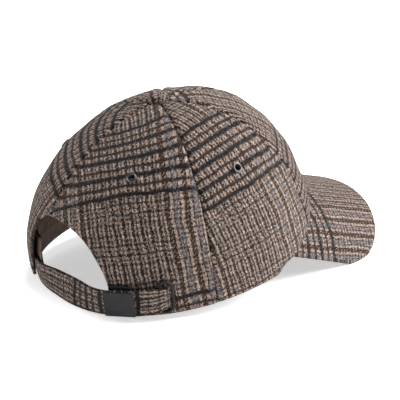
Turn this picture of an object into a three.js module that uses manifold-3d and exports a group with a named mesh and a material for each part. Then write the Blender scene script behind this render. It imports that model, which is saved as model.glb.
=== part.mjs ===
// A six-panel baseball cap in wool check, with a curved peak, a back arch and a fastened strap.
// Millimetres. In the cap's own frame +Z is up, -Y is the front and the rim lies at z = 0.
// Angles are in degrees round from the centre front towards the wearer's right.
import * as THREE from 'three';
import { mergeVertices } from 'three/addons/utils/BufferGeometryUtils.js';
import Module from 'manifold-3d';

const wasm = await Module();
wasm.setup();

// Cloth and clearances
const WALL = 2.2;
const GAP = 0.3;
const BAND_GAP = 0.5;
const SEAM_GAP = 0.3;

// Crown: the rim seen from above, and the height of its top
const RIM_FRONT = 103;
const RIM_BACK = 94;
const RIM_HALF_WIDTH = 83.5;
const RIM_FRONT_POWER = 1.85;
const RIM_BACK_POWER = 2.3;
const CROWN_HEIGHT = 107.5;
const CROWN_TOP_SHIFT = 0.8;
const SHOULDER_RISE = -1;
const CROWN_TOP_T = 0.975;

// Steps for the wall's slope, and the range and step of the search for a height on it
const SLOPE_ANGLE = 0.5;
const SLOPE_T = 0.005;
const SEARCH_T = [-0.1, 0.5];
const SEARCH_STEP = 1e-5;

// Crown: one row for each seam.
// lean: how far the wall leans outwards low down, as a share of the rim's radius
// leanHeight: where it does so, as a share of the crown's height
// shoulder: radius of the turn to the top, as a share of the rim's radius
const SEAMS = [
  { name: 'front', angle: 0, lean: -0.105, leanHeight: 0.56, shoulder: 0.68 },
  { name: 'right front', angle: 52, lean: -0.01, leanHeight: 0.515, shoulder: 0.63 },
  { name: 'right back', angle: 110.5, lean: -0.045, leanHeight: 0.58, shoulder: 0.695 },
  { name: 'back', angle: 187, lean: 0.24, leanHeight: 0.58, shoulder: 0.52 },
  { name: 'left back', angle: 249.5, lean: -0.05, leanHeight: 0.5, shoulder: 0.685 },
  { name: 'left front', angle: 308, lean: 0.015, leanHeight: 0.555, shoulder: 0.655 },
];
const BACK_SEAM = 187;

// Back arch: its half-widths in degrees either side of the back seam, the turn by which
// the left one flares at its foot, and the arch's top on the wall
const ARCH_RIGHT = 34.7;
const ARCH_LEFT = 14;
const ARCH_LEFT_FLARE = 10;
const ARCH_FLARE_POWER = 5;
const ARCH_TOP_T = 0.34;
const ARCH_POWER = 2.4;

// Peak: a bent and tilted board covered in cloth
const PEAK_ANGLE = 68.5;
const PEAK_FADE = 10;
const PEAK_FADE_WIDTH = 16;
const PEAK_HALF_WIDTH = 76.7;
const PEAK_SIDE_Y = -85.4;
const PEAK_REACH = 70;
const PEAK_BEND_RADIUS = 90;
const PEAK_TILT = THREE.MathUtils.degToRad(25);
const PEAK_ROOT_HEIGHT = 16.6;
const PEAK_THICKNESS = 3;
const PEAK_EDGE_THICKNESS = 1.6;
const PEAK_SEAT = 0.45;
const PEAK_EDGE_SHARE = 0.03;
const PEAK_ROOT_DEPTH = 1.7;
const PEAK_END_MARGIN = 6;

// Sweatband: inside the rim, from one arch edge round the front to the other
const BAND_THICKNESS = 1.2;
const BAND_TOP_T = 0.21;
const BAND_FRONT_DROP_T = 0.03;
const BAND_FOOT_T = 0.012;
const BAND_END_INSET = 1.5;
const BAND_LEFT_END = 198.5;
const BAND_STEP_IN = 3;
const BAND_STEP_ANGLE = 14;

// Strap: one row for each station from its sewn root, inside the left edge of the arch,
// to the tail that tucks in through the slot. foot and head: how far the middle of its
// lower and upper edges lies outside the crown's outer surface. low and high: those edges' heights.
const STRAP_THICKNESS = 2;
const STRAP = [
  { angle: 214, foot: -4.1, head: -4.1, low: 0.3, high: 19 },
  { angle: 209, foot: -3.8, head: -4.1, low: 0.3, high: 19 },
  { angle: 203, foot: -3.1, head: -4.2, low: 0.3, high: 19 },
  { angle: 195, foot: -2.7, head: -4.9, low: 0.1, high: 19 },
  { angle: 187, foot: -2.4, head: -7.4, low: -0.1, high: 19 },
  { angle: 178, foot: -0.8, head: -7.6, low: -0.1, high: 19 },
  { angle: 168, foot: 0.4, head: -5, low: 0.4, high: 19.2 },
  { angle: 160, foot: 2.2, head: 0.4, low: 1.6, high: 20 },
  { angle: 154, foot: 3.4, head: 3.2, low: 2.4, high: 20.6 },
  { angle: 148, foot: 3.8, head: 3.8, low: 2.7, high: 20.8 },
  { angle: 139, foot: 3.8, head: 3.8, low: 2.8, high: 20.6 },
  { angle: 134.2, foot: 3.3, head: 3.3, low: 3.6, high: 20.2 },
  { angle: 131.2, foot: 2.5, head: 2.5, low: 5.4, high: 19.6 },
  { angle: 129.6, foot: 0.6, head: 0.6, low: 5.8, high: 18.8 },
  { angle: 128.8, foot: -1.3, head: -1.3, low: 6.4, high: 17.6 },
];

// Slide buckle: a plain plate over the strap, and the frame behind it
const BUCKLE_ANGLE = 148;
const PLATE = { width: 20, height: 17.4, thickness: 1.2, corner: 0.8, shift: 0.6 };
const FRAME = { width: 15, height: 19.6, thickness: 0.8, corner: 1, bar: 2.2, shift: 1.4, clearance: 1.15 };

// Tuck grommet: an oval ring round the slot that the strap's tail goes in by
const RING_ANGLE = 131.2;
const RING_T = 0.068;
const RING = { width: 12.6, height: 22.6, bar: 2.1, rise: 1.4, bevel: 0.35 };
const SLOT_MARGIN = 0.4;

// Ventilation eyelets, one in each back and side panel
const EYELET = {
  hole: 2,
  barrel: 2.35,
  flange: 3.5,
  rise: 1.3,
  shoulder: 1.17,
  mouth: 0.91,
  lip: 0.3,
  lipFoot: 0.1,
  backGap: 0.45,
  backFlange: 3.2,
  backThickness: 0.5,
};

// Covered button on top
const BUTTON = {
  radius: 6.8,
  height: 6,
  side: 1,
  roundness: 0.8,
  tuck: 0.4,
  shank: 2,
  shankLength: 4,
  seat: 0.35,
};

// Rest: the cap stands on the peak's two sides and the strap, so it is tipped back by this much
const REST_PITCH = THREE.MathUtils.degToRad(7.27);
const REST_LIFT = 11.45;

// Mesh density
const PANEL_COLUMNS = 9;
const BACK_PANEL_COLUMNS = 13;
const PANEL_ROWS = 17;
const ARCH_ROWS = 10;
const PANEL_ROWS_OVER_ARCH = 12;
const PEAK_COLUMNS = 28;
const PEAK_ROWS = 8;
const BAND_COLUMNS = 54;
const BAND_ROWS = 4;
const STRAP_COLUMNS = 56;
const STRAP_ROWS = 4;
const EYELET_SIDES = 14;
const BUTTON_SIDES = 24;
const BUTTON_STEPS = 7;

const CLOTH = new THREE.MeshStandardMaterial({ color: 0x8a7d74, roughness: 0.95, metalness: 0 });
const BAND_CLOTH = new THREE.MeshStandardMaterial({ color: 0x372f2b, roughness: 0.9, metalness: 0 });
const BLACK_METAL = new THREE.MeshStandardMaterial({ color: 0x26262b, roughness: 0.45, metalness: 0.8 });
const GREY_METAL = new THREE.MeshStandardMaterial({ color: 0x8c8c90, roughness: 0.35, metalness: 1 });

const { degToRad, radToDeg, smoothstep, lerp } = THREE.MathUtils;
const TABLE_UP = new THREE.Vector3(0, -Math.sin(REST_PITCH), Math.cos(REST_PITCH));

// Smooth curve through rows of a table. With a period, the table closes on itself.
function tableValue(rows, key, column, at, period = 0) {
  let points = rows.map((row) => [row[key], row[column]]).sort((p, q) => p[0] - q[0]);
  if (period) {
    const before = points.slice(-2).map(([x, y]) => [x - period, y]);
    const after = points.slice(0, 3).map(([x, y]) => [x + period, y]);
    points = [...before, ...points, ...after];
    at = THREE.MathUtils.euclideanModulo(at, period);
  }
  const last = points.length - 1;
  const slope = (k) => {
    if (k <= 0 || k >= last) {
      return 0;
    }
    const [[x0, y0], [x1, y1], [x2, y2]] = [points[k - 1], points[k], points[k + 1]];
    const before = (y1 - y0) / (x1 - x0);
    const after = (y2 - y1) / (x2 - x1);
    return (before * (x2 - x1) + after * (x1 - x0)) / (x2 - x0);
  };
  let k = points.findIndex(([x]) => x > at) - 1;
  k = k < 0 ? (at < points[0][0] ? 0 : last - 1) : k;
  const [x0, y0] = points[k];
  const [x1, y1] = points[k + 1];
  const width = x1 - x0;
  const s = THREE.MathUtils.clamp((at - x0) / width, 0, 1);
  const start = y0 * (1 + 2 * s) + slope(k) * width * s;
  const end = y1 * (3 - 2 * s) - slope(k + 1) * width * (1 - s);
  return start * (1 - s) ** 2 + end * s ** 2;
}

// Point of the rim's outline seen from above
function rimPoint(angle) {
  const c = Math.cos(degToRad(angle));
  const s = Math.sin(degToRad(angle));
  const front = smoothstep((1 + c) / 2, 0, 1);
  const power = lerp(RIM_BACK_POWER, RIM_FRONT_POWER, front);
  const k = (Math.abs(c) ** power + Math.abs(s) ** power) ** (-1 / power);
  const length = c > 0 ? RIM_FRONT : RIM_BACK;
  return new THREE.Vector2(-RIM_HALF_WIDTH * s * k, -length * c * k);
}

// Height of the peak's upper face
function peakHeight(x, y) {
  const bend = PEAK_BEND_RADIUS - Math.sqrt(PEAK_BEND_RADIUS ** 2 - x ** 2);
  return PEAK_ROOT_HEIGHT - bend + Math.tan(PEAK_TILT) * (y + RIM_FRONT);
}

// How far an angle is from the centre front, either way round
function fromFront(angle) {
  return Math.abs(THREE.MathUtils.euclideanModulo(angle + 180, 360) - 180);
}

// The rim rises over the peak's root
function rimHeight(angle) {
  const { x, y } = rimPoint(angle);
  const overPeak = smoothstep(PEAK_ANGLE + PEAK_FADE - fromFront(angle), 0, PEAK_FADE_WIDTH);
  return Math.max(peakHeight(x, y), 0) * overPeak;
}

// Point of the crown's outer surface: t runs from 0 at the rim to 1 at the top
function crownPoint(angle, t) {
  const [lean, leanHeight, shoulder] = ['lean', 'leanHeight', 'shoulder'].map((column) =>
    tableValue(SEAMS, 'angle', column, angle, 360),
  );
  const foot = rimHeight(angle);
  const [b0, b1, b2, b3] = [(1 - t) ** 3, 3 * t * (1 - t) ** 2, 3 * t ** 2 * (1 - t), t ** 3];
  const radius = b0 + b1 * (1 + lean) + b2 * shoulder;
  const low = b0 * foot + b1 * (foot + leanHeight * (CROWN_HEIGHT - foot));
  const z = low + b2 * (CROWN_HEIGHT + SHOULDER_RISE) + b3 * CROWN_HEIGHT;
  const shift = CROWN_TOP_SHIFT * Math.max(z / CROWN_HEIGHT, 0) ** 1.5;
  const rim = rimPoint(angle);
  return new THREE.Vector3(rim.x * radius, rim.y * radius + shift, z);
}

function crownNormal(angle, t) {
  const across = crownPoint(angle + SLOPE_ANGLE, t).sub(crownPoint(angle - SLOPE_ANGLE, t));
  return upTheWall(angle, t).cross(across).normalize();
}

// Direction up the wall at a point of it
function upTheWall(angle, t) {
  return crownPoint(angle, t + SLOPE_T).sub(crownPoint(angle, t - SLOPE_T)).normalize();
}

// Point a given depth inside the crown's outer surface
function insideCrown(angle, t, depth) {
  return crownPoint(angle, t).addScaledVector(crownNormal(angle, t), -depth);
}

// Point at a given height on the wall, out from its outer surface on the level
function besideCrown(angle, height, out) {
  let [low, high] = SEARCH_T;
  while (high - low > SEARCH_STEP) {
    const middle = (low + high) / 2;
    if (crownPoint(angle, middle).z < height) {
      low = middle;
    } else {
      high = middle;
    }
  }
  const normal = crownNormal(angle, low).setZ(0).normalize();
  return crownPoint(angle, low).addScaledVector(normal, out);
}

// Placing on the wall: Z points out of it, Y up along it
function wallFrame(angle, t, out = 0) {
  const normal = crownNormal(angle, t);
  const side = upTheWall(angle, t).cross(normal).normalize();
  const origin = crownPoint(angle, t).addScaledVector(normal, out);
  return new THREE.Matrix4().makeBasis(side, normal.clone().cross(side), normal).setPosition(origin);
}

// Height of a point above the table that the cap rests on
function aboveTable(point) {
  return point.dot(TABLE_UP) + REST_LIFT;
}

// Cloth that would reach below the table is laid flat on it
function laidFlat(point) {
  return point.addScaledVector(TABLE_UP, Math.max(-aboveTable(point), 0));
}

// Closed body between two grids of points
function slab(front, back) {
  const rows = front.length;
  const columns = front[0].length;
  const at = (side, i, j) => (side * rows + i) * columns + j;
  const index = [];
  const quad = (a, b, c, d) => index.push(a, b, c, a, c, d);
  for (let i = 0; i < rows - 1; i += 1) {
    for (let j = 0; j < columns - 1; j += 1) {
      quad(at(0, i, j), at(0, i, j + 1), at(0, i + 1, j + 1), at(0, i + 1, j));
      quad(at(1, i, j), at(1, i + 1, j), at(1, i + 1, j + 1), at(1, i, j + 1));
    }
  }
  const [top, end] = [rows - 1, columns - 1];
  for (let i = 0; i < top; i += 1) {
    quad(at(0, i, 0), at(0, i + 1, 0), at(1, i + 1, 0), at(1, i, 0));
    quad(at(0, i, end), at(1, i, end), at(1, i + 1, end), at(0, i + 1, end));
  }
  for (let j = 0; j < end; j += 1) {
    quad(at(0, 0, j), at(1, 0, j), at(1, 0, j + 1), at(0, 0, j + 1));
    quad(at(0, top, j), at(0, top, j + 1), at(1, top, j + 1), at(1, top, j));
  }
  const geometry = new THREE.BufferGeometry();
  geometry.setFromPoints([...front.flat(), ...back.flat()]);
  geometry.setIndex(signedVolume(geometry, index) < 0 ? index.reverse() : index);
  return geometry;
}

function signedVolume(geometry, index) {
  const corner = (k) => new THREE.Vector3().fromBufferAttribute(geometry.attributes.position, index[k]);
  let volume = 0;
  for (let k = 0; k < index.length; k += 3) {
    volume += corner(k).dot(corner(k + 1).cross(corner(k + 2)));
  }
  return volume;
}

// Even steps from a start to an end, both included
function steps(count, start = 0, end = 1) {
  return Array.from({ length: count }, (_, k) => lerp(start, end, k / (count - 1)));
}

// Grid of points: one row for each item of rows, one column for each item of columns
function grid(rows, columns, pointAt) {
  return rows.map((row) => columns.map((column) => pointAt(row, column)));
}

function toManifold(geometry) {
  const plain = new THREE.BufferGeometry();
  plain.setAttribute('position', geometry.attributes.position);
  plain.setIndex(geometry.index);
  const merged = mergeVertices(plain, 1e-4);
  const vertProperties = new Float32Array(merged.attributes.position.array);
  const triVerts = new Uint32Array(merged.index.array);
  return new wasm.Manifold(new wasm.Mesh({ numProp: 3, vertProperties, triVerts }));
}

function cut(geometry, tools) {
  const solid = tools.reduce((body, tool) => body.subtract(toManifold(tool)), toManifold(geometry));
  const mesh = solid.getMesh();
  const result = new THREE.BufferGeometry();
  result.setAttribute('position', new THREE.BufferAttribute(mesh.vertProperties, 3));
  result.setIndex(new THREE.BufferAttribute(mesh.triVerts, 1));
  return result;
}

// Outline of a box with round corners, centred on the origin
function roundedOutline(target, width, height, radius) {
  const [x, y] = [width / 2 - radius, height / 2 - radius];
  target.absarc(x, y, radius, 0, Math.PI / 2);
  target.absarc(-x, y, radius, Math.PI / 2, Math.PI);
  target.absarc(-x, -y, radius, Math.PI, 1.5 * Math.PI);
  target.absarc(x, -y, radius, 1.5 * Math.PI, 2 * Math.PI);
  return target;
}

// Arch edge: its angle from the back seam on each side, for a share of its height
function archHalfWidth(side, share) {
  const open = (1 - share ** ARCH_POWER) ** (1 / ARCH_POWER);
  return side > 0 ? ARCH_LEFT * open + ARCH_LEFT_FLARE * (1 - share) ** ARCH_FLARE_POWER : ARCH_RIGHT * open;
}

// Rows of a panel up the wall. Along the arch they crowd towards its top.
function panelRows(archSide) {
  if (!archSide) {
    return steps(PANEL_ROWS, 0, CROWN_TOP_T).map((t) => ({ t, open: 0 }));
  }
  const along = steps(ARCH_ROWS, 0, 1).slice(0, -1).map((turn) => {
    const share = Math.sin((turn * Math.PI) / 2) ** (2 / ARCH_POWER);
    return { t: ARCH_TOP_T * share, open: archHalfWidth(archSide, share) };
  });
  const above = steps(PANEL_ROWS_OVER_ARCH, ARCH_TOP_T, CROWN_TOP_T).map((t) => ({ t, open: 0 }));
  return [...along, ...above];
}

// One gore of the crown between two seams. archSide is -1 or 1 where an end stops at the arch.
function panel(from, to, archSide = 0) {
  const columns = steps(archSide ? BACK_PANEL_COLUMNS : PANEL_COLUMNS);
  const surface = (depth) =>
    grid(panelRows(archSide), columns, ({ t, open }, across) => {
      const radius = crownPoint((from + to) / 2, t).setZ(0).length();
      const inset = radToDeg(SEAM_GAP / 2 / radius);
      const start = from + (archSide > 0 && open ? open : inset);
      const end = to - (archSide < 0 && open ? open : inset);
      const angle = lerp(start, end, across);
      const point = insideCrown(angle, t, depth);
      if (t === 0 && fromFront(angle) < PEAK_ANGLE + PEAK_END_MARGIN) {
        point.z = peakHeight(point.x, point.y);
      }
      return laidFlat(point);
    });
  return slab(surface(0), surface(WALL));
}

// Point of the peak's upper face (side 1) or lower face (side -1)
function peakPoint(out, across, side) {
  const turn = lerp(-1, 1, across);
  const sweep = (turn * Math.PI) / 2;
  const outerX = PEAK_HALF_WIDTH * Math.sin(sweep);
  const outerY = PEAK_SIDE_Y - PEAK_REACH * Math.cos(sweep);
  const root = insideCrown(-turn * PEAK_ANGLE, 0, PEAK_ROOT_DEPTH);
  const x = lerp(root.x, outerX, out);
  const y = lerp(root.y, outerY, out);
  const inFromEdge = Math.min(1 - out, across, 1 - across) / PEAK_EDGE_SHARE;
  const thickness = lerp(PEAK_EDGE_THICKNESS, PEAK_THICKNESS, Math.min(inFromEdge, 1));
  const middle = peakHeight(x, y) - PEAK_SEAT - PEAK_THICKNESS / 2;
  return laidFlat(new THREE.Vector3(x, y, middle + (side * thickness) / 2));
}

function peak() {
  const out = [...steps(PEAK_ROWS, 0, 1 - PEAK_EDGE_SHARE), 1];
  const across = [0, ...steps(PEAK_COLUMNS, PEAK_EDGE_SHARE, 1 - PEAK_EDGE_SHARE), 1];
  const face = (side) => grid(out, across, (o, a) => peakPoint(o, a, side));
  return slab(face(1), face(-1));
}

function sweatband() {
  const from = BACK_SEAM - ARCH_RIGHT - BAND_END_INSET;
  const to = BAND_LEFT_END - 360;
  const surface = (depth) =>
    grid(steps(BAND_ROWS), steps(BAND_COLUMNS, from, to), (up, angle) => {
      const overPeak = smoothstep(PEAK_ANGLE - Math.abs(angle), 0, PEAK_FADE);
      const t = lerp(lerp(BAND_FOOT_T, -BAND_FRONT_DROP_T, overPeak), BAND_TOP_T, up);
      const overRoot = 1 - smoothstep(angle - to, BAND_STEP_ANGLE, 2 * BAND_STEP_ANGLE);
      return insideCrown(angle, t, WALL + BAND_GAP + BAND_STEP_IN * overRoot + depth);
    });
  return slab(surface(0), surface(BAND_THICKNESS));
}

function strap() {
  const angles = steps(STRAP_COLUMNS, STRAP[0].angle, STRAP.at(-1).angle);
  const half = STRAP_THICKNESS / 2;
  const surface = (side) =>
    grid(steps(STRAP_ROWS), angles, (up, angle) => laidFlat(strapPoint(angle, up, side * half)));
  return slab(surface(1), surface(-1));
}

// Flat plate with round corners and, if given, a window
function plateGeometry({ width, height, thickness, corner }, window) {
  const shape = roundedOutline(new THREE.Shape(), width, height, corner);
  if (window) {
    shape.holes.push(roundedOutline(new THREE.Path(), window.width, window.height, window.corner));
  }
  return new THREE.ExtrudeGeometry(shape, { depth: thickness, bevelEnabled: false, curveSegments: 3 });
}

// Point of the strap: up from 0 at its lower edge to 1 at its upper, out from its middle
function strapPoint(angle, up, out) {
  const at = (column) => tableValue(STRAP, 'angle', column, angle);
  const height = lerp(at('low'), at('high'), up);
  return besideCrown(angle, height, lerp(at('foot'), at('head'), up) + out);
}

// Placing on the strap: Z points out of it, Y up across it
function strapFrame(angle, shift, out) {
  const origin = strapPoint(angle, 0.5, 0);
  const up = strapPoint(angle, 1, 0).sub(strapPoint(angle, 0, 0)).normalize();
  const along = strapPoint(angle - 1, 0.5, 0).sub(strapPoint(angle + 1, 0.5, 0)).normalize();
  const normal = along.clone().cross(up).normalize();
  const outwards = normal.dot(origin) > 0 ? normal : normal.negate();
  origin.addScaledVector(up, shift).addScaledVector(outwards, out);
  return new THREE.Matrix4().makeBasis(up.clone().cross(outwards), up, outwards).setPosition(origin);
}

function ringGeometry() {
  const { width, height, bar, rise, bevel } = RING;
  const shape = roundedOutline(new THREE.Shape(), width - 2 * bevel, height - 2 * bevel, width / 2 - bevel);
  const inner = { width: width - 2 * bar + 2 * bevel, height: height - 2 * bar + 2 * bevel };
  shape.holes.push(roundedOutline(new THREE.Path(), inner.width, inner.height, inner.width / 2));
  const depth = rise - 2 * bevel;
  const settings = { depth, bevelThickness: bevel, bevelSize: bevel, bevelSegments: 1, curveSegments: 5 };
  return new THREE.ExtrudeGeometry(shape, settings).translate(0, 0, bevel);
}

// Cutter for the slot inside the grommet
function slotCutter() {
  const width = RING.width - 2 * RING.bar + 2 * SLOT_MARGIN;
  const height = RING.height - 2 * RING.bar + 2 * SLOT_MARGIN;
  const shape = roundedOutline(new THREE.Shape(), width, height, width / 2);
  const reach = 4 * WALL;
  const geometry = new THREE.ExtrudeGeometry(shape, { depth: reach, bevelEnabled: false, curveSegments: 5 });
  return geometry.translate(0, 0, -reach / 2).applyMatrix4(wallFrame(RING_ANGLE, RING_T));
}

// Eyelet with a flange on each side of the cloth, Z out of the wall
function eyeletGeometry() {
  const { hole, barrel, flange, rise, shoulder, mouth, lip, lipFoot } = EYELET;
  const { backGap, backFlange, backThickness } = EYELET;
  const back = -WALL - backGap;
  const crest = (hole + flange) / 2;
  const profile = [
    [hole, back - backThickness],
    [backFlange, back - backThickness],
    [backFlange, back],
    [barrel, back],
    [barrel, GAP],
    [flange - lipFoot, GAP],
    [flange, GAP + lip],
    [crest + lip, shoulder],
    [crest - lip, rise],
    [hole, mouth],
    [hole, back - backThickness],
  ].map(([r, z]) => new THREE.Vector2(r, z));
  return new THREE.LatheGeometry(profile, EYELET_SIDES).rotateX(Math.PI / 2);
}

function eyeletCutter({ angle, t }) {
  const radius = EYELET.barrel + GAP;
  const cylinder = new THREE.CylinderGeometry(radius, radius, 4 * WALL, EYELET_SIDES);
  return cylinder.rotateX(Math.PI / 2).applyMatrix4(wallFrame(angle, t));
}

// Covered button: a low dome with a shank down through the crown's top
function buttonGeometry() {
  const { radius, height, side, roundness, tuck, shank, shankLength, seat } = BUTTON;
  const dome = steps(BUTTON_STEPS, 0, Math.PI / 2).map((turn) => {
    const z = seat + side + (height - side) * Math.sin(turn);
    return new THREE.Vector2(radius * Math.cos(turn) ** roundness, z);
  });
  dome.at(-1).x = 0;
  const foot = [
    [0, -shankLength],
    [shank, -shankLength],
    [shank, seat],
    [radius - tuck, seat],
  ].map(([r, z]) => new THREE.Vector2(r, z));
  return new THREE.LatheGeometry([...foot, ...dome], BUTTON_SIDES).rotateX(Math.PI / 2);
}

const cap = new THREE.Group();
cap.rotation.x = -REST_PITCH;
cap.position.z = REST_LIFT;

function add(name, geometry, material, matrix) {
  const mesh = new THREE.Mesh(geometry, material);
  mesh.name = name;
  if (matrix) {
    mesh.applyMatrix4(matrix);
  }
  cap.add(mesh);
}

// Panels and their eyelets
const PANELS = [
  { name: 'front_right', seam: 0 },
  { name: 'side_right', seam: 1, eyelet: { angle: 84.5, t: 0.49 } },
  { name: 'back_right', seam: 2, eyelet: { angle: 145, t: 0.555 }, archSide: -1, slot: true },
  { name: 'back_left', seam: 3, eyelet: { angle: 229, t: 0.555 }, archSide: 1 },
  { name: 'side_left', seam: 4, eyelet: { angle: 275.5, t: 0.49 } },
  { name: 'front_left', seam: 5 },
];
for (const { name, seam, eyelet, archSide, slot } of PANELS) {
  const end = SEAMS[seam + 1]?.angle ?? 360;
  const tools = [];
  if (eyelet) {
    tools.push(eyeletCutter(eyelet));
    add(`${name}_eyelet`, eyeletGeometry(), GREY_METAL, wallFrame(eyelet.angle, eyelet.t));
  }
  if (slot) {
    tools.push(slotCutter());
  }
  const whole = panel(SEAMS[seam].angle, end, archSide);
  add(`${name}_panel`, tools.length ? cut(whole, tools) : whole, CLOTH);
}

add('top_button', buttonGeometry(), CLOTH, new THREE.Matrix4().setPosition(0, CROWN_TOP_SHIFT, CROWN_HEIGHT));
add('peak', peak(), CLOTH);
add('sweatband', sweatband(), BAND_CLOTH);
add('back_strap', strap(), CLOTH);
add('tuck_grommet', ringGeometry(), BLACK_METAL, wallFrame(RING_ANGLE, RING_T, GAP));

const plateOut = STRAP_THICKNESS / 2 + GAP;
add('buckle_plate', plateGeometry(PLATE), BLACK_METAL, strapFrame(BUCKLE_ANGLE, PLATE.shift, plateOut));
const frameOut = -STRAP_THICKNESS / 2 - FRAME.clearance - FRAME.thickness;
const frameWindow = { width: FRAME.width - 2 * FRAME.bar, height: FRAME.height - 2 * FRAME.bar, corner: 0.5 };
const frameAt = strapFrame(BUCKLE_ANGLE, FRAME.shift, frameOut);
add('buckle_frame', plateGeometry(FRAME, frameWindow), BLACK_METAL, frameAt);

// The origin is the middle of the box round the cap, on the table
const part = new THREE.Group();
part.add(cap);
part.updateMatrixWorld(true);
const middle = new THREE.Box3().setFromObject(cap, true).getCenter(new THREE.Vector3());
cap.position.x -= middle.x;
cap.position.y -= middle.y;

export default part;
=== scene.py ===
import math

import bmesh
import bpy
import numpy as np
from mathutils import Matrix, Vector


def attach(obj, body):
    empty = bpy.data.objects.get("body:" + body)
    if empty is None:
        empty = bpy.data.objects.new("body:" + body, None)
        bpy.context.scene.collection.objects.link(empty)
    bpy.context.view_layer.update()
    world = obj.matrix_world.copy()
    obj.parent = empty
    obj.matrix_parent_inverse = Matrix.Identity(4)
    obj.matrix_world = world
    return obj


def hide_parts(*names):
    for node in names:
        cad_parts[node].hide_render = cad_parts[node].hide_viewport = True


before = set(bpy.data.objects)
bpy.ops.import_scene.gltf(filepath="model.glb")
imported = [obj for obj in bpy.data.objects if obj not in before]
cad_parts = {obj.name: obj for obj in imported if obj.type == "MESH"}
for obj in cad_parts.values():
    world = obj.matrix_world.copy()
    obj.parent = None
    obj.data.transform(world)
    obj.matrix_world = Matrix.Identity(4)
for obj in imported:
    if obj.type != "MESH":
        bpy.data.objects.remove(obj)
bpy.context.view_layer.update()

# Thickness of the wall, and the gaps between pieces
WALL, GAP, BAND_GAP = 2.2, 0.3, 0.5

# Crown: its rim seen from above, its height, and how far its top is shifted back.
# Up its wall, t runs from 0 at the rim to 1 at the middle of the top.
RIM_FRONT, RIM_BACK, RIM_HALF_WIDTH = 103, 94, 83.5
RIM_FRONT_POWER, RIM_BACK_POWER = 1.85, 2.3
CROWN_HEIGHT, CROWN_TOP_SHIFT, CROWN_SHIFT_POWER = 107.5, 0.8, 1.5
SHOULDER_RISE, CROWN_TOP_T = -1, 0.975

# The wall at each seam: how far it leans out, how high up it does so, and how wide its shoulder is
SEAMS = {
    "angle": [0, 52, 110.5, 187, 249.5, 308],
    "lean": [-0.105, -0.01, -0.045, 0.24, -0.05, 0.015],
    "lean_height": [0.56, 0.515, 0.58, 0.58, 0.5, 0.555],
    "shoulder": [0.68, 0.63, 0.695, 0.52, 0.685, 0.655],
}
BACK_SEAM = 187

# Arch: its half widths in degrees, its height, and the flare at the foot of its left edge
ARCH_RIGHT, ARCH_LEFT, ARCH_TOP_T, ARCH_POWER = 34.7, 14, 0.34, 2.4
ARCH_LEFT_FLARE, ARCH_FLARE_POWER = 10, 5

# Peak: how far round it goes, its outline, its bend and slope, and its place under the rim
PEAK_ANGLE, PEAK_FADE, PEAK_FADE_WIDTH = 68.5, 10, 16
PEAK_HALF_WIDTH, PEAK_SIDE_Y, PEAK_REACH = 76.7, -85.4, 70
PEAK_BEND_RADIUS, PEAK_BEND_LIMIT = 90, 89
PEAK_TILT = math.radians(25)
PEAK_ROOT_HEIGHT, PEAK_THICKNESS = 16.6, 3
PEAK_SEAT, PEAK_ROOT_DEPTH, PEAK_END_MARGIN = 0.45, 1.7, 6

# Sweatband: its edges on the wall, its ends at the arch, and its step inwards beside the strap's tail
BAND_THICKNESS, BAND_TOP_T, BAND_FRONT_DROP_T, BAND_FOOT_T = 1.2, 0.21, 0.03, 0.012
BAND_END_INSET, BAND_LEFT_END, BAND_STEP_IN, BAND_STEP_ANGLE = 1.5, 198.5, 3, 14

# Strap: how far out from the wall its lower and upper edges stand, and how high they run
STRAP_THICKNESS = 2
STRAP = {
    "angle": [128.8, 129.6, 131.2, 134.2, 139, 148, 154, 160, 168, 178, 187, 195, 203, 209, 214],
    "foot": [-1.3, 0.6, 2.5, 3.3, 3.8, 3.8, 3.4, 2.2, 0.4, -0.8, -2.4, -2.7, -3.1, -3.8, -4.1],
    "head": [-1.3, 0.6, 2.5, 3.3, 3.8, 3.8, 3.2, 0.4, -5, -7.6, -7.4, -4.9, -4.2, -4.1, -4.1],
    "low": [6.4, 5.8, 5.4, 3.6, 2.8, 2.7, 2.4, 1.6, 0.4, -0.1, -0.1, 0.1, 0.3, 0.3, 0.3],
    "high": [17.6, 18.8, 19.6, 20.2, 20.6, 20.8, 20.6, 20, 19.2, 19, 19, 19, 19, 19, 19],
}

# How the cap lies on the table
REST_PITCH = math.radians(7.27)
REST_COS, REST_SIN = math.cos(REST_PITCH), math.sin(REST_PITCH)
REST_LIFT, REST_Y = 11.45, 29.201
MM_PER_M = 1000

# Steps for the slopes of the wall, and the search for a height on it
SLOPE_ANGLE, SLOPE_T = 0.5, 0.005
SEARCH_T, SEARCH_STEPS = (-0.1, 0.5), 18


# Surfaces
def smooth(x, low=0.0, high=1.0):
    s = np.clip((x - low) / (high - low), 0, 1)
    return s * s * (3 - 2 * s)


def lerp(a, b, s):
    return a + (b - a) * s


def table_value(rows, name, at, period=None):
    """Smooth curve through the values of a table's row."""
    x, y = np.array(rows["angle"], float), np.array(rows[name], float)
    if period:
        x = np.concatenate([x[-2:] - period, x, x[:3] + period])
        y = np.concatenate([y[-2:], y, y[:3]])
        at = np.mod(at, period)
    run = np.diff(x)
    rise = np.diff(y) / run
    slope = np.zeros_like(y)
    slope[1:-1] = (rise[:-1] * run[1:] + rise[1:] * run[:-1]) / (run[1:] + run[:-1])
    k = np.clip(np.searchsorted(x, at, side="right") - 1, 0, len(x) - 2)
    s = np.clip((at - x[k]) / run[k], 0, 1)
    start = y[k] * (1 + 2 * s) + slope[k] * run[k] * s
    end = y[k + 1] * (3 - 2 * s) - slope[k + 1] * run[k] * (1 - s)
    return start * (1 - s) ** 2 + end * s**2


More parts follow.
